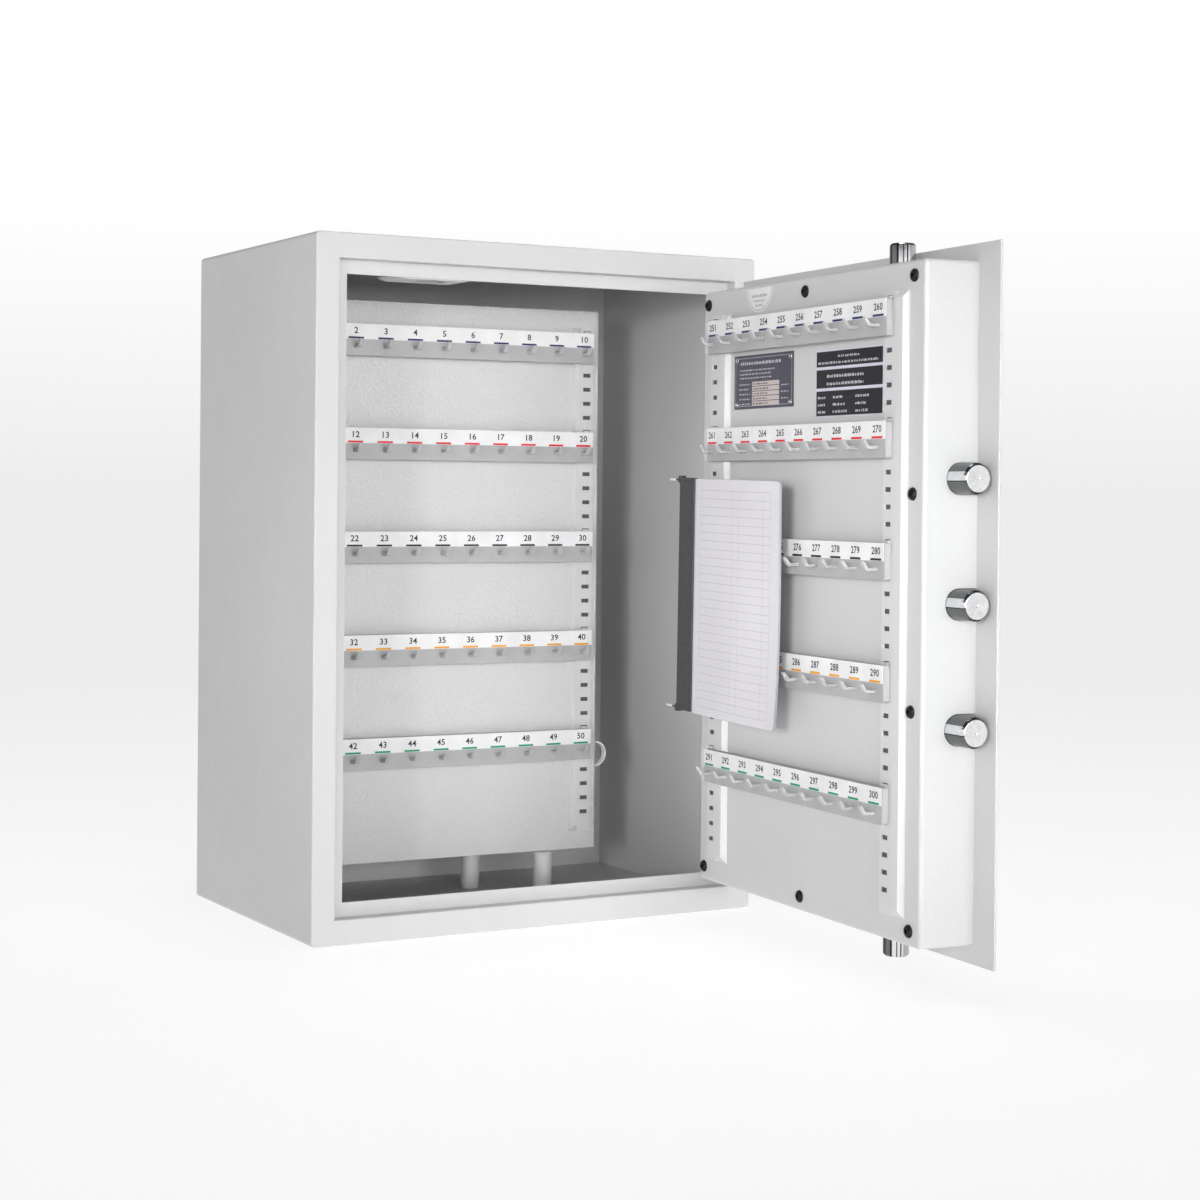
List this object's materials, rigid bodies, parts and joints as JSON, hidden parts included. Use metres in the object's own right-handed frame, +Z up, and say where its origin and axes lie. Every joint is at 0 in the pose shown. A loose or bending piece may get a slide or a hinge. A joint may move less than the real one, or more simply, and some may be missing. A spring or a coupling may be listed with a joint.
{
  "type": "key cabinet",
  "caption": "Steel key cabinet with a hinged door, round locking bolts, two swing-out hook panels and rows of numbered key hooks on door, panels and rear wall.",
  "frame": {"origin": "centre of the cabinet's underside", "axes": "+X to the right as seen from the front, +Y into the cabinet, +Z up"},
  "size_m": [0.55, 0.8549, 0.75],
  "materials": {
    "body_paint": "light grey powder coat, fine orange peel",
    "inner_paint": "light grey powder coat, coarser texture",
    "rail_white": "white powder coat",
    "bar_grey": "mid grey moulded plastic",
    "hook_grey": "mid grey moulded plastic",
    "label_white": "white printed strip",
    "steel": "turned steel",
    "zinc_steel": "zinc plated",
    "chrome": "polished chrome",
    "brass": "machined brass",
    "black_screw": "black oxide",
    "plate_dark_blue": "dark blue printed plate",
    "plate_black": "black printed plate",
    "binder_black": "black plastic",
    "paper": "white ruled paper in a clear sleeve"
  },
  "bodies": {
    "cabinet": {"shell_wrapper": "body_paint", "rear_wall": "body_paint", "front_frame": "body_paint", "bolt_keepers": "inner_paint", "frame_knuckles": "body_paint", "hinge_pins": "steel", "panel_brackets": "inner_paint", "panel_1_leg": "inner_paint", "panel_2_leg": "inner_paint", "wall_rails": "rail_white", "wall_hook_bars": "bar_grey", "wall_hooks": "hook_grey", "wall_labels": "label_white"},
    "panel_1": {"panel_1_sheet": "inner_paint", "panel_1_pivot": "inner_paint", "panel_1_pull": "rail_white", "panel_1_rails": "rail_white", "panel_1_front_hook_bars": "bar_grey", "panel_1_front_hooks": "hook_grey", "panel_1_front_labels": "label_white", "panel_1_back_hook_bars": "bar_grey", "panel_1_back_hooks": "hook_grey", "panel_1_back_labels": "label_white"},
    "panel_2": {"panel_2_sheet": "inner_paint", "panel_2_pivot": "inner_paint", "panel_2_pull": "rail_white", "panel_2_rails": "rail_white", "panel_2_front_hook_bars": "bar_grey", "panel_2_front_hooks": "hook_grey", "panel_2_front_labels": "label_white", "panel_2_back_hook_bars": "bar_grey", "panel_2_back_hooks": "hook_grey", "panel_2_back_labels": "label_white"},
    "door": {"door_leaf": "body_paint", "door_hinge_straps": "body_paint", "boltwork_cover": "body_paint", "door_posts": "zinc_steel", "cover_screws": "black_screw", "rating_plate": "plate_dark_blue", "info_plate": "plate_black", "door_rails": "rail_white", "door_hook_bars": "bar_grey", "door_hooks": "hook_grey", "door_labels": "label_white", "register_spine": "binder_black", "register_sheets": "paper", "lock_case": "zinc_steel", "key_escutcheon": "chrome", "spindle_bush": "brass", "handle_rosette": "chrome"},
    "handle": {"handle_lever": "chrome", "drive_spindle": "steel"},
    "side_carriage": {"bolt_carriage": "zinc_steel", "side_bolts": "chrome"},
    "top_bolt_rod": {"top_bolt": "chrome", "top_rod": "zinc_steel"},
    "bottom_bolt_rod": {"bottom_bolt": "chrome", "bottom_rod": "zinc_steel"},
    "lock_bolt": {"lock_bolt": "steel"},
    "keyhole_cover": {"keyhole_cover": "chrome"}
  },
  "joints": [
    {"name": "door_hinge", "type": "hinge", "parent": "cabinet", "child": "door", "pos_m": [0.266, -0.1765, 0.375], "axis": [0, 0, 1], "range_deg": [-85.36, 34.64]},
    {"name": "panel_1_pivot", "type": "hinge", "parent": "cabinet", "child": "panel_1", "pos_m": [-0.237, 0.016, 0.375], "axis": [0, 0, -1], "range_deg": [0, 75]},
    {"name": "panel_2_pivot", "type": "hinge", "parent": "cabinet", "child": "panel_2", "pos_m": [-0.237, 0.086, 0.375], "axis": [0, 0, -1], "range_deg": [0, 48.75]},
    {"name": "handle_turn", "type": "hinge", "parent": "door", "child": "handle", "pos_m": [0.21573, -0.52392, 0.375], "axis": [0.9967, -0.0809, 0], "range_deg": [-90, 0]},
    {"name": "side_bolts_slide", "type": "slide", "parent": "door", "child": "side_carriage", "axis": [-0.0809, -0.9967, 0], "range_m": [-0.02475, 0]},
    {"name": "top_bolt_slide", "type": "slide", "parent": "door", "child": "top_bolt_rod", "axis": [0, 0, 1], "range_m": [-0.02475, 0]},
    {"name": "bottom_bolt_slide", "type": "slide", "parent": "door", "child": "bottom_bolt_rod", "axis": [0, 0, -1], "range_m": [-0.02475, 0]},
    {"name": "lock_bolt_slide", "type": "slide", "parent": "door", "child": "lock_bolt", "axis": [-0.0809, -0.9967, 0], "range_m": [0, 0.012]},
    {"name": "keyhole_cover_swing", "type": "hinge", "parent": "door", "child": "keyhole_cover", "pos_m": [0.22859, -0.43969, 0.456], "axis": [0.9967, -0.0809, 0], "range_deg": [0, 110]}
  ],
  "couplings": [
    {"joint": "panel_2_pivot", "follows": "panel_1_pivot", "ratio": 0.65},
    {"joint": "side_bolts_slide", "follows": "handle_turn", "m_per_rad": 0.01575},
    {"joint": "top_bolt_slide", "follows": "handle_turn", "m_per_rad": 0.01575},
    {"joint": "bottom_bolt_slide", "follows": "handle_turn", "m_per_rad": 0.01575}
  ]
}
